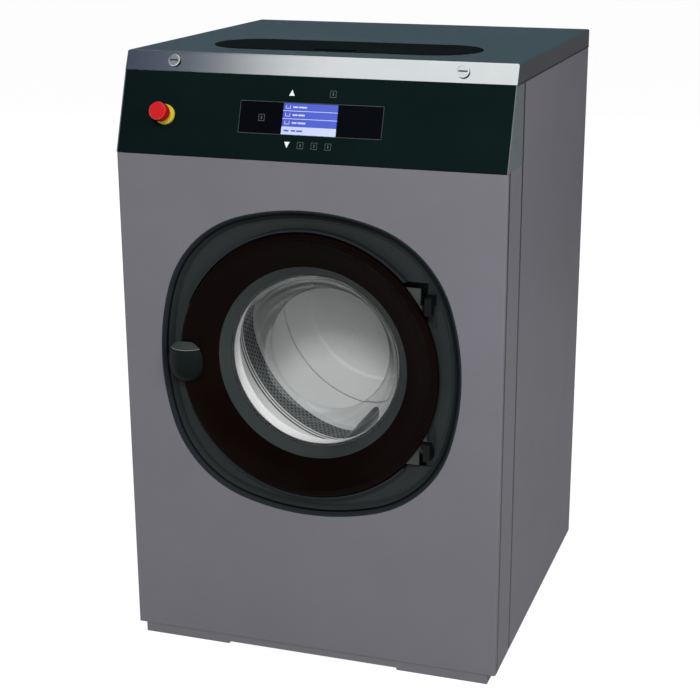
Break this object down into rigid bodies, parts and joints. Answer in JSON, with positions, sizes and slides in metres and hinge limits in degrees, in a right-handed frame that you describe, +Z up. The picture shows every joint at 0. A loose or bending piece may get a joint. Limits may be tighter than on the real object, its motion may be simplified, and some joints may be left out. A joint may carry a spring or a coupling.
{
  "type": "washing machine",
  "caption": "Commercial front-loading washer-extractor: grey steel cabinet, sloped black control fascia, round glass door in a recessed surround, belt-driven drum.",
  "frame": {"origin": "on the floor, under the middle of the overall box", "axes": "+Z up, -Y out of the door, +X to the right of someone facing the door"},
  "size_m": [0.795, 0.844, 1.244],
  "materials": {
    "grey_paint": "satin powder coat",
    "stainless": "brushed",
    "dark_steel": "satin",
    "bright_steel": "plated",
    "fascia_black": "satin film",
    "display_glass": "gloss",
    "board_green": "solder mask",
    "stop_red": "moulded",
    "stop_yellow": "moulded",
    "black_plastic": "fine grain",
    "gloss_black": "polished",
    "grey_plastic": "satin",
    "clear_glass": "pressed",
    "rubber": "moulded",
    "cast_metal": "painted casting"
  },
  "bodies": {
    "cabinet": {"base_frame": "grey_paint", "front_panel": "grey_paint", "left_corner_post": "grey_paint", "right_corner_post": "grey_paint", "left_side_panel": "grey_paint", "right_side_panel": "grey_paint", "rear_panel": "grey_paint", "rear_service_cover": "grey_paint", "control_chassis": "grey_paint", "top_cover": "stainless", "tub_shell": "stainless", "tub_front": "stainless", "bearing_stand": "dark_steel", "motor_mount": "dark_steel", "lock_sleeves": "bright_steel", "hinge_bracket": "bright_steel", "hinge_pins": "bright_steel", "soap_lid_pin": "bright_steel", "drum_bearings": "bright_steel", "fascia_overlay": "fascia_black", "display_module": "display_glass", "control_board": "board_green", "stop_collar": "stop_yellow", "door_surround": "black_plastic", "soap_hopper": "black_plastic", "stop_contact_block": "black_plastic", "door_lock": "black_plastic", "fill_pipe": "black_plastic", "inlet_valves": "black_plastic", "drain_pipe": "black_plastic", "drain_valve": "black_plastic", "cable_gland": "black_plastic", "door_seal": "rubber", "shaft_seal": "rubber", "drive_belts": "rubber", "inlet_hoses": "rubber", "bearing_housing": "cast_metal", "drive_motor": "cast_metal"},
    "door": {"door_ring": "gloss_black", "glass_ring": "grey_plastic", "door_glass": "clear_glass", "door_back_ring": "stainless", "hinge_leaves": "bright_steel", "handle_pin": "bright_steel"},
    "handle": {"door_handle": "black_plastic", "latch_hook": "bright_steel"},
    "drum": {"drum_shell": "stainless", "drum_front": "stainless", "drum_back": "stainless", "drum_lifters": "stainless", "drum_spider": "cast_metal", "drum_shaft": "bright_steel", "drum_pulley": "cast_metal"},
    "motor_rotor": {"motor_shaft": "bright_steel", "motor_pulley": "cast_metal"},
    "stop_plunger": {"stop_stem": "black_plastic"},
    "stop_button": {"stop_head": "stop_red"},
    "left_lock": {"left_cam_lock": "bright_steel"},
    "right_lock": {"right_cam_lock": "bright_steel"},
    "lid": {"soap_lid": "black_plastic"}
  },
  "joints": [
    {"name": "door_swing", "type": "hinge", "parent": "cabinet", "child": "door", "pos_m": [0.25, -0.393, 0.64], "axis": [0, 0, 1], "range_deg": [0, 160]},
    {"name": "handle_pull", "type": "hinge", "parent": "door", "child": "handle", "pos_m": [-0.236, -0.403, 0.64], "axis": [0, 0, 1], "range_deg": [0, 18], "stiffness_Nm_per_rad": 3},
    {"name": "drum_spin", "type": "hinge", "parent": "cabinet", "child": "drum", "pos_m": [0, 0, 0.64], "axis": [0, 1, 0], "continuous": true},
    {"name": "motor_spin", "type": "hinge", "parent": "cabinet", "child": "motor_rotor", "pos_m": [0.11, 0, 0.165], "axis": [0, 1, 0], "continuous": true},
    {"name": "stop_push", "type": "slide", "parent": "cabinet", "child": "stop_plunger", "axis": [0, 0.9412, -0.3379], "range_m": [0, 0.006], "stiffness_N_per_m": 900},
    {"name": "stop_twist", "type": "hinge", "parent": "stop_plunger", "child": "stop_button", "pos_m": [-0.3, -0.36031, 1.12435], "axis": [0, -0.9412, 0.3379], "range_deg": [-45, 0], "stiffness_Nm_per_rad": 0.1},
    {"name": "left_lock_turn", "type": "hinge", "parent": "cabinet", "child": "left_lock", "pos_m": [-0.293, -0.32266, 1.22527], "axis": [0, -0.9179, 0.3969], "range_deg": [0, 90]},
    {"name": "right_lock_turn", "type": "hinge", "parent": "cabinet", "child": "right_lock", "pos_m": [0.293, -0.32266, 1.22527], "axis": [0, -0.9179, 0.3969], "range_deg": [0, 90]},
    {"name": "lid_lift", "type": "hinge", "parent": "cabinet", "child": "lid", "pos_m": [0, -0.0462, 1.238], "axis": [-1, 0, 0], "range_deg": [0, 95]}
  ],
  "couplings": [
    {"joint": "motor_spin", "follows": "drum_spin", "ratio": 4.5732}
  ]
}
